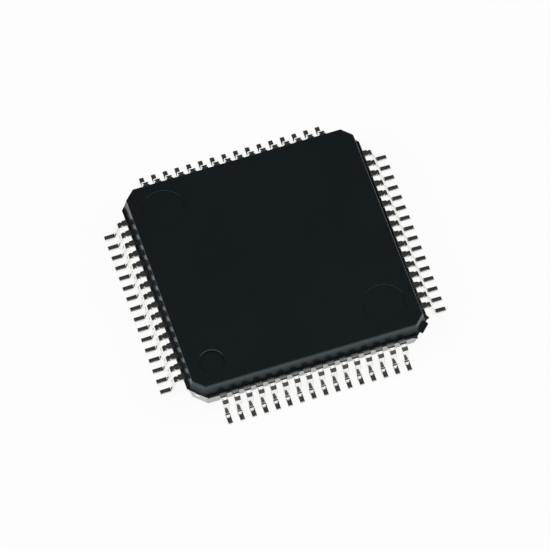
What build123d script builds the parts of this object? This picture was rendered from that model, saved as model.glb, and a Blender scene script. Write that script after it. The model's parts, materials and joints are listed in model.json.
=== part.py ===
"""Quad flat pack: a 64-lead chip package, 10 x 10 mm body, 0.5 mm lead pitch.

A moulded epoxy body holds a stamped copper leadframe. On the frame's sunk pad
sits the silicon die, and 64 gold wires join the die to 64 inner fingers, which
leave the body at its parting plane as gull-wing leads.

Millimetres. The origin is the centre of the footprint on the seating plane,
+Z up. Pin 1 is at the -X -Y corner and the pins count counter-clockwise.
"""
from math import atan2, cos, pi, radians, sin, sqrt, tan
import os

from build123d import *

# Moulded body
body_size = 10.0            # across flats of the lower half, at the parting plane
body_height = 1.35
standoff = 0.10             # seating plane to the underside
parting_step = 0.05         # the upper half is smaller all round, but not at its corners
draft = 12.0                # degrees, both mould halves
corner_cut = 0.60           # leg of the lower half's 45 degree corner
edge_round = 0.10           # round along the top and bottom edges

# Marks left by the mould
pin_mark_diameter = 1.10    # pin 1 dimple
pin_mark_depth = 0.08
pin_mark_inset = 1.20       # dimple centre from the parting outline
ejector_diameter = 1.80
ejector_depth = 0.03
ejector_inset = 1.50        # mark centre from the parting outline
gate_width = 0.48
gate_height = 0.09          # over the tie bar that it covers
gate_proud = 0.14

# Leadframe
frame_level = 0.80          # seating plane to the frame's middle
frame_thickness = 0.127
leads_per_side = 16
first_lead_inset = 1.25     # body outline to the middle of the first lead
lead_reach = 1.00           # body outline to the toes
foot_width = 0.20
shoulder_width = 0.27
shoulder_length = 0.30      # flat stretch outside the body
shoulder_bend = 0.115       # inner radius, over the shoulder
heel_bend = 0.08            # inner radius, over the foot
drop_angle = 85.0           # degrees, the run down from shoulder to foot
foot_angle = 4.0            # degrees, the toe lies lower than the heel
shoulder_flat_count = 3     # faces round each shoulder bend, few because there are 64
heel_flat_count = 2         # faces round each heel bend
flat_overlap = 0.02         # the gull wing starts this far back on the flat

# Inner fingers
finger_straight = 0.45      # from the body outline inwards, before the fan
finger_length = 1.75        # body outline to the tips
finger_tip_width = 0.17
finger_corner_gap = 0.775   # last finger's tip to the corner of the square they stand on

# Die pad and its tie bars
finger_pad_gap = 0.85       # finger tips to the pad
pad_downset = 0.20
pad_corner_cut = 0.35
tie_bar_width = 0.20
tie_bar_proud = 0.03        # cut end beyond the corner face
tie_bar_ramp_start = 0.45   # from the pad's corner, along the diagonal

# Die, its glue and the wires
pad_margin = 0.80           # pad beyond the die
die_thickness = 0.28
attach_thickness = 0.025
attach_margin = 0.15        # glue fillet beyond the die
bond_edge = 0.12            # bond pads, in from the die's edge
bond_row_end = 0.2875       # die's corner to the row's last bond pad
wire_diameter = 0.025
wire_rise = 0.16            # loop height over the die
wire_lead_inset = 0.20      # second bond, out from the finger's tip

# Derived places
body_top = standoff + body_height
frame_top = frame_level + frame_thickness / 2
frame_bottom = frame_level - frame_thickness / 2
parting_z = frame_top       # the frame lies in the lower mould half
half = body_size / 2
side_count = 4
lead_count = side_count * leads_per_side
lead_pitch = 2 * (half - first_lead_inset) / (leads_per_side - 1)
lead_span = body_size + 2 * lead_reach
finger_tip_radius = half - finger_length
finger_tip_pitch = 2 * (finger_tip_radius - finger_corner_gap) / (leads_per_side - 1)
pad_size = 2 * (finger_tip_radius - finger_pad_gap)
die_size = pad_size - 2 * pad_margin
bond_pitch = (die_size - 2 * bond_row_end) / (leads_per_side - 1)
pins_per_node = 4
pad_top = frame_top - pad_downset
pad_bottom = pad_top - frame_thickness
attach_top = pad_top + attach_thickness
die_top = attach_top + die_thickness
corner_reach = sqrt(2) * half - corner_cut / sqrt(2)   # centre to corner face
wire_thickness = wire_diameter * sqrt(pi) / 2          # square of the same area


def chamfered_square(size, cut):
    """A square face with 45 degree corners."""
    h = size / 2
    inner = h - cut
    corners = [(h, -inner), (h, inner), (inner, h), (-inner, h),
               (-h, inner), (-h, -inner), (-inner, -h), (inner, -h)]
    return make_face(Polyline(*corners, close=True))


def mould_half(height, step):
    """A drafted half of the body, standing on the parting plane, a step in from the outline."""
    outline = Pos(0, 0, parting_z) * chamfered_square(body_size - 2 * step, corner_cut - 2 * step)
    block = extrude(outline, amount=height, taper=draft)
    return fillet(block.faces().sort_by(Axis.Z)[-1].edges(), edge_round)


def gate_stub():
    """The broken gate on the +X -Y corner, over the tie bar."""
    reach = corner_reach + gate_proud
    depth = corner_cut
    stub = Box(depth, gate_width, gate_height,
               align=(Align.MAX, Align.CENTER, Align.MIN))
    return Rot(0, 0, -45) * Pos(reach, 0, frame_top) * stub


def place_on_side(side):
    """Turn a shape built on the -Y side to side 0 (-Y), 1 (+X), 2 (+Y), 3 (-X)."""
    return Rot(0, 0, 90 * side)


def pin_place(pin):
    """The side of a pin, counted from 1, and its place along it from -7.5 to 7.5."""
    side, index = divmod(pin - 1, leads_per_side)
    return side, index - (leads_per_side - 1) / 2


def heading(angle):
    """The unit vector at an angle, in degrees, in a section's plane."""
    return Vector(cos(radians(angle)), sin(radians(angle)))


def bend(corner, into, out, radius, flats):
    """Points of an arc, in flats, that turns from one heading to another at a corner."""
    turn = out - into
    hand = 1 if turn > 0 else -1
    first = corner - heading(into) * radius * tan(radians(abs(turn) / 2))
    centre = first + heading(into + 90 * hand) * radius
    steps = [into + turn * step / flats for step in range(flats + 1)]
    return [centre + heading(angle - 90 * hand) * radius for angle in steps]


def strip(path, thickness):
    """A band of even thickness along an open path, mitred where it turns."""
    runs = [(b - a).normalized() for a, b in zip(path, path[1:])]
    outline = []
    for side in (1, -1):
        edge = []
        for point, a, b in zip(path, [runs[0], *runs], [*runs, runs[-1]]):
            across = (a + b).normalized().rotate(Axis.Z, 90)
            reach = thickness / 2 / across.dot(a.rotate(Axis.Z, 90))
            edge.append(point + across * reach * side)
        outline += edge[::side]
    return make_face(Polyline(*outline, close=True))


def gull_wing_section():
    """The formed lead's section beyond its flat shoulder, X outwards from the centre."""
    t = frame_thickness
    out = heading(-foot_angle)
    down = heading(-drop_angle)
    # The toe's upper corner is the furthest out, and its lower one is on the seat
    toe = Vector(lead_span / 2 - t / 2 * sin(radians(foot_angle)),
                 t / 2 * cos(radians(foot_angle)))
    # The bends' centreline radii, and where their tangents meet
    shoulder_r = shoulder_bend + t / 2
    heel_r = heel_bend + t / 2
    start = Vector(half + shoulder_length - flat_overlap, frame_level)
    knee = Vector(half + shoulder_length + shoulder_r * tan(radians(drop_angle / 2)), frame_level)
    fall = (toe - knee).cross(out).Z / down.cross(out).Z
    heel = knee + down * fall
    path = [start, *bend(knee, 0, -drop_angle, shoulder_r, shoulder_flat_count),
            *bend(heel, -drop_angle, -foot_angle, heel_r, heel_flat_count), toe]
    return strip(path, t)


def gull_wing():
    """The bends, the drop and the foot of one lead on the -Y side, at X = 0."""
    view = Plane(origin=(0, 0, 0), x_dir=(0, -1, 0), z_dir=(-1, 0, 0))
    formed = extrude(view * gull_wing_section(), amount=shoulder_width / 2, both=True)
    # Seen from the front, the drop narrows from the shoulder's width to the foot's, at the seat
    wide, narrow = shoulder_width / 2, foot_width / 2
    high = frame_bottom - shoulder_bend
    front = make_face(Polyline((-narrow, 0), (narrow, 0), (wide, high), (wide, frame_top),
                               (-wide, frame_top), (-wide, high), close=True))
    return formed & extrude(Plane.XZ * front, amount=lead_span)


def flat_lead(position):
    """The flat part of one lead on the -Y side: inner finger, root and shoulder."""
    x = position * lead_pitch
    tip = position * finger_tip_pitch
    stations = [(tip, finger_tip_width, finger_tip_radius),
                (x, shoulder_width, half - finger_straight),
                (x, shoulder_width, half + shoulder_length)]
    right = [(middle + width / 2, -out) for middle, width, out in stations]
    left = [(middle - width / 2, -out) for middle, width, out in reversed(stations)]
    face = make_face(Polyline(*right, *left, close=True))
    return extrude(Pos(0, 0, frame_bottom) * face, amount=frame_thickness)


def lead(pin):
    side, position = pin_place(pin)
    shape = Pos(position * lead_pitch, 0, 0) * gull_wing() + flat_lead(position)
    return place_on_side(side) * shape


def wire(pin):
    """One bond wire: up from the die and down in one slope to its finger."""
    side, position = pin_place(pin)
    start = Vector(position * bond_pitch, -(die_size / 2 - bond_edge))
    fan = position * (lead_pitch - finger_tip_pitch) / (half - finger_straight - finger_tip_radius)
    end = Vector(position * finger_tip_pitch + fan * wire_lead_inset,
                 -(finger_tip_radius + wire_lead_inset))
    run = (end - start).length
    t = wire_thickness
    crown = die_top + wire_rise
    slope = atan2(crown - frame_top, run)
    level_cut = t / sin(slope)      # the slope's cut where it lies on the finger
    under_crown = crown - t * (1 + sin(slope)) / cos(slope)
    profile = [(0, die_top), (0, crown), (run, frame_top), (run - level_cut, frame_top),
               (t, under_crown), (t, die_top)]
    along = (end - start).normalized()
    view = Plane(origin=start, x_dir=along, z_dir=along.cross(Vector(0, 0, 1)))
    face = view * make_face(Polyline(*profile, close=True))
    return place_on_side(side) * extrude(face, amount=t / 2, both=True)


def tie_bar():
    """One tie bar along +X, from inside the pad out to the corner face."""
    ramp = pad_size / sqrt(2) - pad_corner_cut / sqrt(2) + tie_bar_ramp_start
    low = pad_top - frame_thickness / 2
    path = [Vector(pad_size / 2, low), Vector(ramp, low),
            Vector(ramp + pad_downset, frame_level),
            Vector(corner_reach + tie_bar_proud, frame_level)]
    section = strip(path, frame_thickness)
    return extrude(Plane.XZ * section, amount=tie_bar_width / 2, both=True)


def die_pad():
    plate = Pos(0, 0, pad_bottom) * chamfered_square(pad_size, pad_corner_cut)
    pad = extrude(plate, amount=frame_thickness)
    for corner in range(side_count):
        pad += Rot(0, 0, 45 + 90 * corner) * tie_bar()
    return pad


def die_attach():
    """The glue under the die, spread a little past it."""
    size = die_size + 2 * attach_margin
    return Box(size, size, attach_thickness, align=(Align.CENTER, Align.CENTER, Align.MIN)).moved(
        Location((0, 0, pad_top)))


def silicon_die():
    return Box(die_size, die_size, die_thickness,
               align=(Align.CENTER, Align.CENTER, Align.MIN)).moved(Location((0, 0, attach_top)))


def moulded_body(embedded):
    """The epoxy moulding, with its marks, round all that it was moulded on."""
    upper = mould_half(body_top - parting_z, parting_step)
    lower = mirror(mould_half(parting_z - standoff, 0), about=Plane.XY.offset(parting_z))
    body = upper + lower + gate_stub()
    marks = []
    dimple = half - pin_mark_inset
    marks.append(Pos(-dimple, -dimple, body_top) * Cylinder(pin_mark_diameter / 2, 2 * pin_mark_depth))
    eject = half - ejector_inset
    for x, y in ((-eject, eject), (eject, -eject)):
        marks.append(Pos(x, y, body_top) * Cylinder(ejector_diameter / 2, 2 * ejector_depth))
    return body - marks - embedded


def save(shape, name):
    export_step(shape, os.path.join("parts", name + ".step"))


def main():
    os.makedirs("parts", exist_ok=True)
    leads = {pin: lead(pin) for pin in range(1, lead_count + 1)}
    wires = {pin: wire(pin) for pin in range(1, lead_count + 1)}
    pad, glue, die = die_pad(), die_attach(), silicon_die()
    body = moulded_body([*leads.values(), *wires.values(), pad, glue, die])
    save(body, "moulded_body")
    save(pad, "die_pad")
    save(glue, "die_attach")
    save(die, "silicon_die")
    for first in range(1, lead_count + 1, pins_per_node):
        pins = range(first, first + pins_per_node)
        span = f"{first:02d}_{first + pins_per_node - 1:02d}"
        save(Compound([s for pin in pins for s in leads[pin].solids()]), "leads_" + span)
        save(Compound([s for pin in pins for s in wires[pin].solids()]), "bond_wires_" + span)


main()
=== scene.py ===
# %% [markdown]
# # A quad flat pack chip, dressed round its CAD model
# The packed model comes first and never moves. The die, its glue, the pad and the bond
# wires are hidden in the moulding and only get a finish. What shows is made anew at the
# same size: the moulded body, whose edges and mould marks are finer than in CAD, and the
# 64 leads, which the CAD model bends in a few flats to stay light.

# %% The packed part
import json
from math import cos, pi, radians, sin, tan

import bpy
from mathutils import Matrix, Vector

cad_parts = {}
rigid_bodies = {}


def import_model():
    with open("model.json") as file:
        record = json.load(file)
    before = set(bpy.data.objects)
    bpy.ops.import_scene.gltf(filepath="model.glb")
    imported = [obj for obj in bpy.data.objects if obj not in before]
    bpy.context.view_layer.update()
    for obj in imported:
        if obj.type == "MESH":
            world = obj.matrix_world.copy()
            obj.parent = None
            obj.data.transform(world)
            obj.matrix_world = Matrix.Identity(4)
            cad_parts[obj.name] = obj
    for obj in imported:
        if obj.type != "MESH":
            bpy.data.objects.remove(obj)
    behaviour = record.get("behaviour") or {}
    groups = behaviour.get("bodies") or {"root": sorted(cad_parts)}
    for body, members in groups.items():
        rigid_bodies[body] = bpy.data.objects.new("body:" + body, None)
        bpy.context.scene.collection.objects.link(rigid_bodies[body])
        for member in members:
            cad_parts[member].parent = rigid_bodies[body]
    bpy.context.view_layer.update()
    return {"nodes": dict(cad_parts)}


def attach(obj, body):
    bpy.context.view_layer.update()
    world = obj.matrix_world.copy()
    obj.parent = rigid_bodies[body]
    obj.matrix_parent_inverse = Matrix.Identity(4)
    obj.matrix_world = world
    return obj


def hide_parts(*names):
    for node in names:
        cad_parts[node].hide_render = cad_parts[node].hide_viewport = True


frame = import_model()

print("packed nodes:", len(frame["nodes"]))

# %% [markdown]
# ## Working in millimetres
# Blender measures in metres, and this part is 12 mm across. Each new piece is made a
# thousand times too large, so that one unit is a millimetre, and shrunk when it is
# finished. Its object then stays at the origin with its place in its mesh.
#
# Edges and faces are picked by their place, as a hand would pick them by eye. Blender
# only lets a script set the selection in object mode, and remembers the old one, so
# `pick` clears it in edit mode first.

# %% Small helpers for modelling
MM = 0.001
close = 0.001                   # two places this near, in millimetres, are the same


def object_mode():
    """Leave edit mode and let go of everything."""
    if bpy.context.mode != "OBJECT":
        bpy.ops.object.mode_set(mode="OBJECT")
    bpy.ops.object.select_all(action="DESELECT")


def edit(piece, kind):
    """Open a piece in edit mode, by its VERT, EDGE or FACE."""
    bpy.context.view_layer.objects.active = piece
    bpy.ops.object.mode_set(mode="EDIT")
    bpy.ops.mesh.select_mode(type=kind)


def pick(piece, kind, test):
    """Select just the edges or faces whose corners all pass a test of their place."""
    object_mode()
    edit(piece, kind)
    bpy.ops.mesh.select_all(action="DESELECT")
    object_mode()
    for element in piece.data.edges if kind == "EDGE" else piece.data.polygons:
        element.select = all(test(piece.data.vertices[corner].co) for corner in element.vertices)
    edit(piece, kind)


def extrude_along(x, y, z):
    """Extrude what is selected, along a vector."""
    bpy.ops.mesh.extrude_region_move(TRANSFORM_OT_translate={"value": (x, y, z)})


def close_gaps():
    """Fill between the open outlines, and turn all faces outwards."""
    bpy.ops.mesh.select_all(action="DESELECT")
    bpy.ops.mesh.select_non_manifold()
    bpy.ops.mesh.fill(use_beauty=True)
    bpy.ops.mesh.select_all(action="SELECT")
    bpy.ops.mesh.normals_make_consistent(inside=False)


def use_modifier(piece, kind, **settings):
    """Add a modifier, set it and apply it to the mesh."""
    object_mode()
    bpy.context.view_layer.objects.active = piece
    modifier = piece.modifiers.new(kind.title(), kind)
    for name, value in settings.items():
        setattr(modifier, name, value)
    bpy.ops.object.modifier_apply(modifier=modifier.name)


def join(pieces, name):
    """Make one piece of several."""
    object_mode()
    for piece in pieces:
        piece.select_set(True)
    joined = bpy.context.view_layer.objects.active = pieces[0]
    bpy.ops.object.join()
    joined.name = joined.data.name = name
    return joined


print("one unit is", MM, "m while a piece is made")

# %% [markdown]
# ## The moulded body
# The body is epoxy that was pressed into two mould halves round the leadframe. The upper
# half is a little smaller, so a ledge runs along each side at the parting plane, but not
# round the cut corners. Both halves have walls that lean by 12 degrees to come out of
# the mould. A box scaled in at one end would lean its cut corners by less than its
# sides. An inset of the parting outline moves each side in by the same amount, and its
# depth makes the wall in the same step.

# %% Press the two halves
underside, parting, top = 0.10, 0.8635, 1.45
body_size, corner_cut, parting_step = 10.0, 0.60, 0.065
corner_round = 0.06
corner_ledge = 0.006            # keeps the two outlines apart where their corners meet
draft = radians(12)


def press_half(cut, depth):
    """Cut the corners of the selected plane and draw it out into a drafted half."""
    bpy.ops.mesh.bevel(affect="VERTICES", offset_type="ABSOLUTE", offset=cut)
    bpy.ops.mesh.bevel(affect="VERTICES", offset_type="ABSOLUTE", offset=corner_round, segments=2)
    bpy.ops.mesh.select_mode(type="FACE")
    bpy.ops.mesh.inset(thickness=depth * tan(draft), depth=depth)
    bpy.ops.mesh.select_mode(type="VERT")


object_mode()
bpy.ops.mesh.primitive_plane_add(size=body_size, location=(0, 0, parting), rotation=(pi, 0, 0))
body = bpy.context.object
body.name = body.data.name = "compound_body"
bpy.ops.object.transform_apply(location=True, rotation=True)
edit(body, "VERT")
press_half(corner_cut, parting - underside)
bpy.ops.mesh.primitive_plane_add(size=body_size - 2 * parting_step, location=(0, 0, parting))
press_half(corner_cut - 2 * parting_step + corner_ledge, top - parting)
bpy.ops.mesh.select_mode(type="EDGE")
close_gaps()
object_mode()
print("body:", [round(size, 3) for size in body.dimensions], "mm")

# %% [markdown]
# Mould steel wears, so no edge stays knife-sharp. The edges round the top and the
# underside get a tiny round, which shows as a thin line of light. A Bevel modifier would
# round the walls' edges as well, so the two outlines are picked by their height.

# %% Round the top and bottom edges
edge_round = 0.025
pick(body, "EDGE", lambda corner: min(abs(corner.z - underside), abs(corner.z - top)) < close)
bpy.ops.mesh.bevel(offset=edge_round, segments=2, affect="EDGES")
object_mode()
print("body with rounded edges:", len(body.data.polygons), "faces")

# %% [markdown]
# ## Marks of the mould
# A round pin in the mould leaves the dimple that marks pin 1, and the ejector pins leave
# wide shallow prints. Discs could be cut out with a Boolean modifier, but that leaves
# one large face with holes in it. So the top face is taken off, a cup is extruded from a
# circle for each mark, and Fill closes the flat between them. The worn rim of a cup
# starts with a slope of 15 degrees and gets steeper, which catches an arc of light.

# %% Sink the marks into the top
round_steps = 96
pin_mark_at, pin_mark_width, pin_mark_depth = 3.80, 1.10, 0.08
ejector_at, ejector_width, ejector_depth = 3.50, 1.80, 0.03
worn_rim = [(0.35, 0.10), (0.12, 0.15), (0, 0.75)]  # inwards and down, in depths of the mark


def sink_mark(x, y, diameter, depth):
    """Extrude a round cup with a worn rim down from the level of the top."""
    radius = diameter / 2
    bpy.ops.mesh.primitive_circle_add(vertices=round_steps, radius=radius, location=(x, y, top),
                                      fill_type="NOTHING")
    for inwards, down in worn_rim:
        extrude_along(0, 0, -down * depth)
        scale = (radius - inwards * depth) / radius
        bpy.ops.transform.resize(value=(scale, scale, 1), center_override=(x, y, 0))
        radius -= inwards * depth
    bpy.ops.mesh.edge_face_add()


pick(body, "FACE", lambda corner: corner.z > top - close)
bpy.ops.mesh.delete(type="ONLY_FACE")
bpy.ops.mesh.select_mode(type="EDGE")
sink_mark(-pin_mark_at, -pin_mark_at, pin_mark_width, pin_mark_depth)
sink_mark(-ejector_at, ejector_at, ejector_width, ejector_depth)
sink_mark(ejector_at, -ejector_at, ejector_width, ejector_depth)
close_gaps()
object_mode()
level_area = sum(face.area for face in body.data.polygons if face.normal.z > 0.999)
print("body:", len(body.data.polygons), "faces, level area", round(level_area, 2), "mm2")

# %% [markdown]
# ## The broken gate
# Where the compound ran in, at one corner, a stub still stands on the tie bar after the
# runner was broken off. It is a wedge that grows out of the corner. A plain block would
# leave a step against the wall, so the inner top edge of a block is lifted up the wall,
# and a small bevel softens the break.

# %% Leave the broken gate on one corner
gate_reach, gate_width, gate_height, gate_rise = 6.787, 0.48, 0.09, 0.36
gate_round = 0.012
gate_turn = -pi / 4             # towards the corner between +X and -Y
gate_middle = gate_reach - corner_cut / 2
object_mode()
bpy.ops.mesh.primitive_cube_add(size=1)
gate = bpy.context.object
gate.name = gate.data.name = "compound_gate"
gate.scale = (corner_cut, gate_width, gate_height)
bpy.ops.object.transform_apply(scale=True)
pick(gate, "EDGE", lambda corner: corner.x < 0 and corner.z > 0)
bpy.ops.transform.translate(value=(0, 0, gate_rise))
object_mode()
gate.rotation_euler = (0, 0, gate_turn)
gate.location = (gate_middle * cos(gate_turn), gate_middle * sin(gate_turn),
                 parting + gate_height / 2)
gate.select_set(True)
bpy.context.view_layer.objects.active = gate
bpy.ops.object.transform_apply(location=True, rotation=True)
use_modifier(gate, "BEVEL", width=gate_round, segments=2)
print("gate:", len(gate.data.polygons), "faces")

# %% [markdown]
# ## Flash
# The mould halves never close quite tight, so a film of compound creeps out between the
# leads, to the line where the dam bar stopped it. Beside the gate, where the compound
# comes in under pressure, it runs out into a small horn. Sixty small films between the
# leads would look the same as one strip that the leads pass through. So each side gets
# one thin strip, whose ends are extruded and drawn to a point.

# %% Let the flash creep out on four sides
flash_top, flash_thick = 0.861, 0.015
flash_root, flash_reach, horn_reach = 4.92, 5.04, 5.12
row_end, horn_end, point_length = 4.20, 4.36, 0.06
point_share = 0.2               # of the width, left at the point


def flash_film(side, horns):
    """The film on side 0 (-Y) to 3 (-X), with horns at its ends -1 or 1."""
    object_mode()
    middle = (flash_root + flash_reach) / 2
    bpy.ops.mesh.primitive_plane_add(size=1, location=(0, -middle, flash_top))
    film = bpy.context.object
    film.scale = (2 * row_end, flash_reach - flash_root, 1)
    bpy.ops.object.transform_apply(location=True, scale=True)
    root = (0, -flash_root, 0)
    for end in (-1, 1):
        pick(film, "EDGE", lambda corner: abs(corner.x - end * row_end) < close)
        extrude_along(end * (horn_end - row_end), 0, 0)
        if end in horns:
            widened = (horn_reach - flash_root) / (flash_reach - flash_root)
            bpy.ops.transform.resize(value=(1, widened, 1), center_override=root)
        extrude_along(end * point_length, 0, 0)
        bpy.ops.transform.resize(value=(1, point_share, 1), center_override=root)
    use_modifier(film, "SOLIDIFY", thickness=flash_thick, offset=-1)
    film.data.transform(Matrix.Rotation(side * pi / 2, 4, "Z"))
    return film


# The horns stand on both sides of the gate, so at one end of two films
horns_by_side = [(1,), (-1,), (), ()]
flash = join([flash_film(side, horns) for side, horns in enumerate(horns_by_side)],
             "compound_flash")
print("flash:", len(flash.data.polygons), "faces")

# %% [markdown]
# ## Hand the moulding over
# Body, gate and flash are one moulding on the real chip, and one body in the packed
# part. They stay three pieces here, so that each is a clean shape of its own. The body
# stands for the CAD node that it replaces.

# %% Shrink the moulding to metres
moulding = [body, gate, flash]
for piece in moulding:
    piece.data.transform(Matrix.Scale(MM, 4))
    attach(piece, "root")
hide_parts("moulded_body")
print("moulding:", [len(piece.data.polygons) for piece in moulding], "faces")

# %% [markdown]
# ## One gull-wing lead
# A lead is a strip of copper 0.127 mm thick, plated with tin. It leaves the body half
# way up, falls a little along a short shoulder, and is formed over a tool into a steep
# drop and a nearly flat foot. Its width is not the same all along: the root is wide,
# then comes the neck where the dam bar was punched away.
#
# All lengths are given but two. The drop and the foot are as long as they must be for
# the toe to stand on the seating plane, at its distance from the package's centre.

# %% Measure the lead
thick = 0.127
level = 0.80                    # middle of the frame, over the seating plane
seat_reach = 6.00               # package centre to the toe
bend_radius, heel_radius = 0.143 + thick / 2, 0.11 + thick / 2    # of the middle line
slope_radius = 0.25             # of the slight bend where the shoulder starts to fall
slope_length = 0.03
slope_angle, drop_angle, foot_angle = radians(7), radians(79), radians(1)

# Distance from the package's centre and width, from the finger's tip to the clamp line
flat_stations = [(3.25, 0.17), (4.55, 0.27), (4.90, 0.27), (4.92, 0.33), (5.045, 0.33),
                 (5.08, 0.30), (5.16, 0.29)]


def heading(angle):
    """The unit vector of a run that goes outwards and down by an angle."""
    return Vector((0, -cos(angle), -sin(angle)))


def bend_shift(start, end, radius):
    """How far a bend carries the lead's middle line, from one angle to another."""
    hand = 1 if end > start else -1
    return Vector((0, sin(start) - sin(end), cos(end) - cos(start))) * hand * radius


def cross(a, b):
    """The cross product of two vectors in the plane of the lead's profile."""
    return a.y * b.z - a.z * b.y


clamp = Vector((0, -flat_stations[-1][0], level))
toe = Vector((0, -(seat_reach - thick / 2 * sin(foot_angle)), thick / 2 * cos(foot_angle)))
left = toe - clamp - (bend_shift(0, slope_angle, slope_radius)
                      + heading(slope_angle) * slope_length
                      + bend_shift(slope_angle, drop_angle, bend_radius)
                      + bend_shift(drop_angle, foot_angle, heel_radius))
down, out = heading(drop_angle), heading(foot_angle)
drop_length = cross(left, out) / cross(down, out)
foot_length = cross(down, left) / cross(down, out)
print("drop", round(drop_length, 3), "mm, foot", round(foot_length, 3), "mm")

# %% [markdown]
# The lead could be a curve with a flat profile, but then its width could not change
# along the way. So a rectangle is extruded from the inner tip outwards, and spun round
# the two bend lines, as the forming tool does it. Spin turns the left way round, so a
# bend downwards has a negative angle.

# %% Model one lead on the -Y side
root_width, neck_width, block_width, heel_width, toe_width = 0.28, 0.19, 0.26, 0.21, 0.20
neck_end, block_start = radians(12), radians(21)
neck_flare = (neck_end + block_start) / 2
upper_drop = 0.4                # share of the drop that narrows the most

object_mode()
first_at, first_width = flat_stations[0]
bpy.ops.mesh.primitive_plane_add(size=1, location=(0, -first_at, level), rotation=(pi / 2, 0, 0))
lead = bpy.context.object
lead.name = "lead_model"
lead.scale = (first_width, thick, 1)
bpy.ops.object.transform_apply(location=True, rotation=True, scale=True)
edit(lead, "VERT")
bpy.ops.mesh.select_all(action="SELECT")
at, width = Vector((0, -first_at, level)), first_width


def widen(new_width):
    """Set the width of the section that has just been made."""
    global width
    bpy.ops.transform.resize(value=(new_width / width, 1, 1), center_override=(0, 0, 0))
    width = new_width


def run(angle, length, new_width):
    """Extrude the lead's section straight on."""
    global at
    extrude_along(*(heading(angle) * length))
    at = at + heading(angle) * length
    widen(new_width)


def form(start, end, radius, steps, new_width):
    """Spin the section round a forming edge, below the lead or above it."""
    global at
    hand = 1 if end > start else -1
    across = Vector((0, sin(start), -cos(start))) * hand
    bpy.ops.mesh.spin(steps=steps, angle=start - end, center=at + across * radius, axis=(1, 0, 0))
    at = at + bend_shift(start, end, radius)
    widen(new_width)


for station, station_width in flat_stations[1:]:
    run(0, station + at.y, station_width)
form(0, slope_angle, slope_radius, 2, root_width)
run(slope_angle, slope_length / 2, (root_width + neck_width) / 2)
run(slope_angle, slope_length / 2, neck_width)
form(slope_angle, neck_end, bend_radius, 2, neck_width)
form(neck_end, neck_flare, bend_radius, 1, (neck_width + block_width) / 2)
form(neck_flare, block_start, bend_radius, 1, block_width)
form(block_start, drop_angle, bend_radius, 10, block_width)
run(drop_angle, drop_length * upper_drop, (block_width + heel_width) / 2)
run(drop_angle, drop_length * (1 - upper_drop), heel_width)
form(drop_angle, foot_angle, heel_radius, 12, heel_width)
run(foot_angle, foot_length, toe_width)
bpy.ops.mesh.select_all(action="SELECT")
bpy.ops.mesh.normals_make_consistent(inside=False)
print("toe is", round((at - toe).length, 4), "mm from its place")

# %% [markdown]
# Punched and plated edges are never sharp, so the long edges are rolled. A bevel that
# goes by angle finds them all, and leaves the bends alone. Weighted normals keep the
# flats truly flat in reflections, because the plating mirrors the room and a flat that
# shades like a bend would show at once.

# %% Roll the edges
rolled_edge, sharp_from = 0.025, radians(70)
object_mode()
lead.select_set(True)
bpy.context.view_layer.objects.active = lead
bpy.ops.object.shade_smooth()
use_modifier(lead, "BEVEL", width=rolled_edge, segments=2, limit_method="ANGLE",
             angle_limit=sharp_from)
use_modifier(lead, "WEIGHTED_NORMAL", weight=60, keep_sharp=False)
print("one lead:", len(lead.data.vertices), "vertices")

# %% [markdown]
# ## Sixty-four leads
# Each lead is a copy of the model with a mesh of its own. Outside the body all are
# alike. Inside it their fingers fan in towards the die, so each copy's inner tip is
# moved sideways before the copy is turned to its side. An Array modifier could not move
# each tip by its own amount. Four leads make one piece, as in the CAD model.

# %% Copy, fan out and join the leads
per_side, per_piece, pitch, tip_pitch = 16, 4, 0.50, 0.33


def place_lead(pin):
    """A copy of the lead at its pin, with its finger fanned in, in metres."""
    side, index = divmod(pin - 1, per_side)
    position = index - (per_side - 1) / 2
    copy = lead.copy()
    copy.data = lead.data.copy()
    bpy.context.scene.collection.objects.link(copy)
    for vertex in copy.data.vertices:
        if vertex.co.y > -flat_stations[1][0] + thick:
            vertex.co.x += position * (tip_pitch - pitch)
    turn = Matrix.Rotation(side * pi / 2, 4, "Z")
    move = Matrix.Translation((position * pitch, 0, 0))
    copy.data.transform(Matrix.Scale(MM, 4) @ turn @ move)
    return copy


lead_groups = []
for first in range(1, 4 * per_side + 1, per_piece):
    last = first + per_piece - 1
    group = join([place_lead(pin) for pin in range(first, last + 1)],
                 f"tinned_leads_{first:02d}_{last:02d}")
    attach(group, "root")
    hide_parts(f"leads_{first:02d}_{last:02d}")
    lead_groups.append(group)
bpy.data.objects.remove(lead)
print("lead groups:", len(lead_groups))

# %% [markdown]
# ## Finishes
# A finish is a tree of nodes, and its maths reads best as plain sums. One small class
# wraps the output of a node, so that adding or comparing two of them adds the Math node
# that does it. The other adds any node: its settings first, then what feeds its sockets.

# %% Shader sums and nodes


class Wire:
    """The output of a node, which can be reckoned with."""

    def __init__(self, tree, socket):
        self.tree, self.socket = tree, socket

    def reckon(self, operation, a, b):
        return Shader(self.tree).add("Math", {"operation": operation}, {0: a, 1: b})

    def __add__(self, other): return self.reckon("ADD", self, other)
    def __radd__(self, other): return self.reckon("ADD", other, self)
    def __sub__(self, other): return self.reckon("SUBTRACT", self, other)
    def __rsub__(self, other): return self.reckon("SUBTRACT", other, self)
    def __mul__(self, other): return self.reckon("MULTIPLY", self, other)
    def __rmul__(self, other): return self.reckon("MULTIPLY", other, self)
    def __lt__(self, other): return self.reckon("LESS_THAN", self, other)
    def __gt__(self, other): return self.reckon("GREATER_THAN", self, other)


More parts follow.
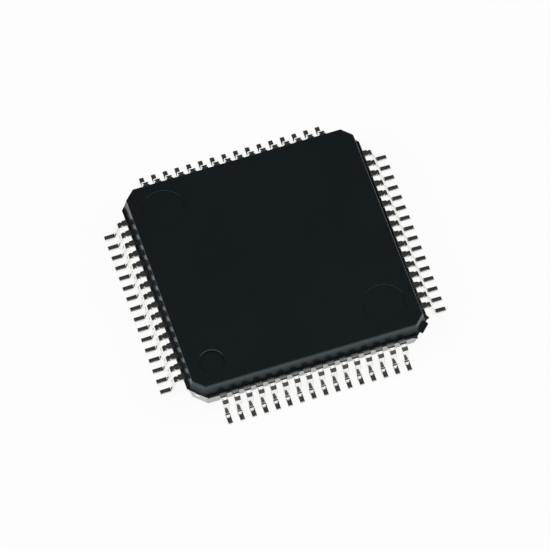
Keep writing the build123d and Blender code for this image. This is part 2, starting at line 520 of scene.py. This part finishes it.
class Shader:
    """The node tree of one material or world."""

    def __init__(self, tree):
        self.tree = tree

    def add(self, kind, settings=None, inputs=None, output=0):
        """Add a node, set it, feed its sockets and give one output back."""
        made = self.tree.nodes.new("ShaderNode" + kind)
        for name, value in (settings or {}).items():
            if name == "stops":
                ramp = made.color_ramp
                while len(ramp.elements) < len(value):
                    ramp.elements.new(0.5)
                for element, (place, colour) in zip(ramp.elements, value):
                    element.position, element.color = place, colour
            else:
                setattr(made, name, value)
        for name, value in (inputs or {}).items():
            if isinstance(value, Wire):
                self.tree.links.new(value.socket, made.inputs[name])
            else:
                made.inputs[name].default_value = value
        return Wire(self.tree, made.outputs[output]) if made.outputs else None

    def blend(self, share, first, second):
        """Mix two colours, with a share of the second."""
        return self.add("Mix", {"data_type": "RGBA"}, {0: share, 6: first, 7: second}, output=2)

    def ramp(self, low, high, drive):
        """A colour between two, where the noise that drives it is mostly 0.3 to 0.7."""
        return self.add("ValToRGB", {"stops": [(0.3, low), (0.7, high)]}, {"Fac": drive})

    def noise(self, place, scale, detail=2.0, roughness=0.5):
        """A cloudy pattern of values round 0.5."""
        return self.add("TexNoise", {}, {"Vector": place, "Scale": scale, "Detail": detail,
                                         "Roughness": roughness})


def new_material(name):
    """An empty material and its nodes."""
    material = bpy.data.materials.new(name)
    material.use_nodes = True
    material.node_tree.nodes.clear()
    return material, Shader(material.node_tree)


def grey(value):
    return (value, value, value, 1)


def paint(piece, material):
    """Give a piece one material all over."""
    piece.data.materials.clear()
    piece.data.materials.append(material)


print("operators:", [name for name in vars(Wire) if name.startswith("__r")])

# %% [markdown]
# ## Black mould compound
# The compound is epoxy filled with ground silica and coloured with soot. It is nearly
# black, a little cool, and polished enough by the mould to give a soft mirror image,
# with a fine grain. The lower half gets a clear coat that makes it shine more, a painted
# sheen that brightens its mirror image of the floor. The foot of the upper wall is dulled,
# a painted shade that stands for the dark image of the leads mirrored there. Three
# materials would leave hard borders. One that looks at its height above the seating
# plane gives a clear change at the parting plane and a slow one where the painted shade fades
# out.

# %% Black mould compound
speck_scale, cloud_scale = 26000.0, 420.0
soot_low, soot_high = (0.0055, 0.0075, 0.0092, 1), (0.0076, 0.0103, 0.0125, 1)
# Painted shade: the band at the foot of the upper wall, full below the first height and gone
# above the second
shade_band_full, shade_band_end = 0.94 * MM, 1.35 * MM

compound, nodes = new_material("mould_compound")
place = nodes.add("TexCoord", output="Object")
height = nodes.add("SeparateXYZ", {}, {"Vector": place}, output="Z")
speck = nodes.noise(place, speck_scale, detail=3.0, roughness=0.65)
cloud = nodes.noise(place, cloud_scale)
tone = nodes.ramp(soot_low, soot_high, 0.6 * cloud + 0.4 * speck)
pits = nodes.add("Bump", {}, {"Height": speck, "Strength": 0.2, "Distance": 1e-6},
                 output="Normal")
lower_half = height < parting * MM
# Painted sheen: the coat on the lower half brightens its mirror image of the floor
polished = nodes.add("BsdfPrincipled", {}, {
    "Base Color": tone, "Roughness": 0.17 + 0.06 * speck, "IOR": 1.65,
    "Specular Tint": (0.70, 0.95, 1.0, 1), "Coat Weight": lower_half, "Coat IOR": 2.0,
    "Coat Roughness": 0.2, "Normal": pits})
# Painted shade: a dull, weakly reflecting finish darkens the foot of the upper wall
painted_shade_finish = nodes.add("BsdfPrincipled", {}, {"Base Color": tone, "Roughness": 0.6,
                                        "Specular IOR Level": 0.1})
painted_shade_band = nodes.add("MapRange", {}, {"Value": height, "From Min": shade_band_full, "From Max": shade_band_end,
                                   "To Min": 1.0, "To Max": 0.0})
surface = nodes.add("MixShader", {}, {0: painted_shade_band - lower_half, 1: polished, 2: painted_shade_finish})
nodes.add("OutputMaterial", {}, {"Surface": surface})
print(compound.name, "has", len(compound.node_tree.nodes), "nodes")

# %% [markdown]
# ## Bright tin plating
# The leads are plated with tin. Fresh tin is a warm white metal with a soft mirror gloss
# that changes from patch to patch, and a fine ripple. A picture of brushed metal would
# give it streaks that plating lacks, so two noises make the patches and the ripple.

# %% Bright tin plating
tin_low, tin_high = (0.86, 0.86, 0.82, 1), (0.93, 0.93, 0.90, 1)
grain_scale, patch_scale = 30000.0, 3500.0

tin, nodes = new_material("tin_plate")
place = nodes.add("TexCoord", output="Object")
grain = nodes.noise(place, grain_scale)
patch = nodes.noise(place, patch_scale)
ripple = nodes.add("Bump", {}, {"Height": grain, "Strength": 0.15, "Distance": 1e-6},
                   output="Normal")
surface = nodes.add("BsdfPrincipled", {}, {
    "Base Color": nodes.ramp(tin_low, tin_high, patch), "Metallic": 1.0,
    "Roughness": 0.08 + 0.06 * patch, "Normal": ripple})
nodes.add("OutputMaterial", {}, {"Surface": surface})
print(tin.name, "has", len(tin.node_tree.nodes), "nodes")

# %% [markdown]
# ## Finishes of the hidden pieces
# Glue filled with silver flakes, the silicon of the die and the gold of the bond wires
# are all plain metals to the eye. They differ in tone, in the size of their grain and in
# gloss, so one function makes the three.

# %% Silver glue, silicon and gold
def plain_metal(name, low, high, scale, roughness):
    """A metal with a slow change of tone and a fine grain."""
    material, nodes = new_material(name)
    grain = nodes.noise(nodes.add("TexCoord", output="Object"), scale, detail=3.0)
    surface = nodes.add("BsdfPrincipled", {}, {
        "Base Color": nodes.ramp(low, high, grain), "Metallic": 1.0,
        "Roughness": roughness + 0.1 * grain})
    nodes.add("OutputMaterial", {}, {"Surface": surface})
    return material


silver_glue = plain_metal("silver_epoxy", (0.42, 0.42, 0.40, 1), (0.60, 0.60, 0.57, 1),
                          scale=22000.0, roughness=0.5)
silicon = plain_metal("silicon", (0.20, 0.21, 0.24, 1), (0.27, 0.28, 0.32, 1),
                      scale=9000.0, roughness=0.12)
gold = plain_metal("bond_gold", (0.85, 0.60, 0.22, 1), (0.95, 0.72, 0.32, 1),
                   scale=20000.0, roughness=0.15)
print("plain metals:", silver_glue.name, silicon.name, gold.name)

# %% [markdown]
# The pad and its tie bars are bare copper inside the moulding. Their cut ends stick out
# at the corners and were tinned together with the leads. The pad is one piece, so the
# tin starts by place, where the distances along X and Y add up to nearly those of the
# body's cut corner.

# %% Copper frame with tinned ends
copper_low, copper_high = (0.62, 0.30, 0.18, 1), (0.78, 0.42, 0.27, 1)
tinned_end = (0.90, 0.90, 0.87, 1)
tinned_from = 9.30 * MM

copper, nodes = new_material("frame_copper")
place = nodes.add("TexCoord", output="Object")
grain = nodes.noise(place, 6000.0, detail=3.0)
spread = nodes.add("VectorMath", {"operation": "ABSOLUTE"}, {0: place})
reach = nodes.add("VectorMath", {"operation": "DOT_PRODUCT"}, {0: spread, 1: (1, 1, 0)},
                  output="Value")
tone = nodes.blend(reach > tinned_from, nodes.ramp(copper_low, copper_high, grain), tinned_end)
surface = nodes.add("BsdfPrincipled", {}, {"Base Color": tone, "Metallic": 1.0,
                                           "Roughness": 0.25 + 0.1 * grain})
nodes.add("OutputMaterial", {}, {"Surface": surface})
print(copper.name, "has", len(copper.node_tree.nodes), "nodes")

# %% [markdown]
# ## Putting the finishes on
# The names of the packed nodes say what each is made of, so the finish goes by how a
# name starts. What isn't in the list is moulded. The nodes that the new pieces stand
# for get a finish too, because they are still in the file.

# %% Put the finishes on
finish_of = {"leads": tin, "bond_wires": gold, "die_pad": copper, "die_attach": silver_glue,
             "silicon_die": silicon}
for name, piece in frame["nodes"].items():
    paint(piece, next((finish for start, finish in finish_of.items() if name.startswith(start)),
                      compound))
for group in lead_groups:
    paint(group, tin)
for piece in moulding:
    paint(piece, compound)
print("finished:", len(frame["nodes"]) + len(lead_groups) + len(moulding), "pieces")

# %% [markdown]
# ## Floor
# The chip stands on white paper. It could be lit until it is white, but then the light
# would wash out the chip too. So the paper glows by itself, at a strength of 1, for the
# rays that are seen, mirrored or come through glass. A small share of it stays lit
# paper, which keeps the shadow under the chip.

# %% Floor
paper_tone, glowing_share = 0.9, 0.92
object_mode()
bpy.ops.mesh.primitive_circle_add(vertices=round_steps, radius=3.0, fill_type="NGON",
                                  location=(0, 0, 0))
floor = bpy.context.object
floor.name = "white_floor"
paper, nodes = new_material("white_paper")
seen, mirrored, through = (nodes.add("LightPath", output=ray) for ray in
                           ("Is Camera Ray", "Is Glossy Ray", "Is Transmission Ray"))
lit = nodes.add("BsdfDiffuse", {}, {"Color": grey(paper_tone)})
glowing = nodes.add("Emission", {}, {"Color": grey(1.0), "Strength": 1.0})
surface = nodes.add("MixShader", {}, {0: glowing_share * (seen + mirrored + through),
                                      1: lit, 2: glowing})
nodes.add("OutputMaterial", {}, {"Surface": surface})
paint(floor, paper)
print("floor:", [round(size, 2) for size in floor.dimensions], "m")

# %% [markdown]
# ## Lamps
# The flats of the tin mirror one large softbox, overhead and a little to the back. Point
# lamps would leave hot spots there, so all lamps are wide areas. Two more at the sides
# fill in the walls, and are hidden from mirrors, because the photograph shows no second
# lamp in the tin. The power of each follows from the brightness that it shows. Azimuth 0
# is the -Y side, and 90 is +X.

# %% Lamps
def direction(azimuth, elevation):
    """The unit vector from the chip towards a place in the studio, from angles in radians."""
    return Vector((sin(azimuth) * cos(elevation), -cos(azimuth) * cos(elevation),
                   sin(elevation)))


def softbox(name, azimuth, elevation, distance, width, height, radiance):
    """An area lamp that faces the chip."""
    lamp = bpy.data.lights.new(name, "AREA")
    lamp.shape = "RECTANGLE"
    lamp.size, lamp.size_y = width, height
    lamp.energy = radiance * pi * width * height
    holder = bpy.data.objects.new(name, lamp)
    bpy.context.scene.collection.objects.link(holder)
    towards = direction(radians(azimuth), radians(elevation))
    holder.location = towards * distance
    holder.rotation_euler = towards.to_track_quat("Z", "Y").to_euler()
    holder.visible_camera = False
    return holder


overhead = softbox("softbox_overhead", azimuth=180, elevation=88.5, distance=0.5,
                   width=0.50, height=0.30, radiance=1.0)
for name, azimuth in (("fill_east", 95), ("fill_west", -95)):
    softbox(name, azimuth, elevation=30, distance=0.6, width=0.9, height=0.6,
            radiance=2.1).visible_glossy = False
print("softbox overhead:", round(overhead.data.energy, 3), "W")

# %% [markdown]
# ## Surroundings
# The rest of the room is dark, and the tin shows it as dark bands. It is a little less
# dark behind the camera. A photographed room would bring things into the mirror images
# that the chip never stood among, so the world is one plain tone that changes from the
# back to the front. The camera itself sees white there, as it does on the floor.

# %% Surroundings
room_tone, front_tone = 0.035, 0.09
front_turn = 0.3                # how far north and south of the chip the tone changes
world = bpy.data.worlds.new("studio")
bpy.context.scene.world = world
world.use_nodes = True
world.node_tree.nodes.clear()
nodes = Shader(world.node_tree)
seen = nodes.add("LightPath", output="Is Camera Ray")
towards = nodes.add("TexCoord", output="Generated")
north = nodes.add("SeparateXYZ", {}, {"Vector": towards}, output="Y")
front = nodes.add("MapRange", {}, {"Value": north, "From Min": -front_turn,
                                   "From Max": front_turn, "To Min": 1.0, "To Max": 0.0})
room = nodes.blend(front, grey(room_tone), grey(front_tone))
glow = nodes.add("Background", {}, {"Color": nodes.blend(seen, room, grey(1.0)),
                                    "Strength": 1.0})
nodes.add("OutputWorld", {}, {"Surface": glow})
print("surroundings:", len(world.node_tree.nodes), "nodes")

# %% [markdown]
# ## Camera
# The photograph looks down at 60 degrees through a long lens. These values were fitted
# to the tips of the leads and the corners of the body. A Track To constraint would do
# for the direction, but the photograph is turned a little as well, so the camera's own
# axes are worked out and rolled.

# %% Camera
picture_width, focal_length = 550, 6382.92  # both in pixels
azimuth, elevation, roll = radians(-15.493), radians(59.907), radians(-2.855)
distance = 0.256725
target = Vector((0.012, -0.042, 0.04)) * MM

camera = bpy.data.objects.new("camera", bpy.data.cameras.new("camera"))
bpy.context.scene.collection.objects.link(camera)
bpy.context.scene.camera = camera
camera.data.sensor_width = 36.0
camera.data.lens = camera.data.sensor_width * focal_length / picture_width
back = direction(azimuth, elevation)
right = Vector((cos(azimuth), sin(azimuth), 0))
upward = back.cross(right)
right, upward = (cos(roll) * right + sin(roll) * upward,
                 cos(roll) * upward - sin(roll) * right)
turn = Matrix((right, upward, back)).transposed().to_4x4()
camera.matrix_world = Matrix.Translation(target + back * distance) @ turn
camera.data.clip_start, camera.data.clip_end = 0.01, 20.0
bpy.context.scene.view_settings.view_transform = "Standard"
print("lens:", round(camera.data.lens, 1), "mm")

# %% [markdown]
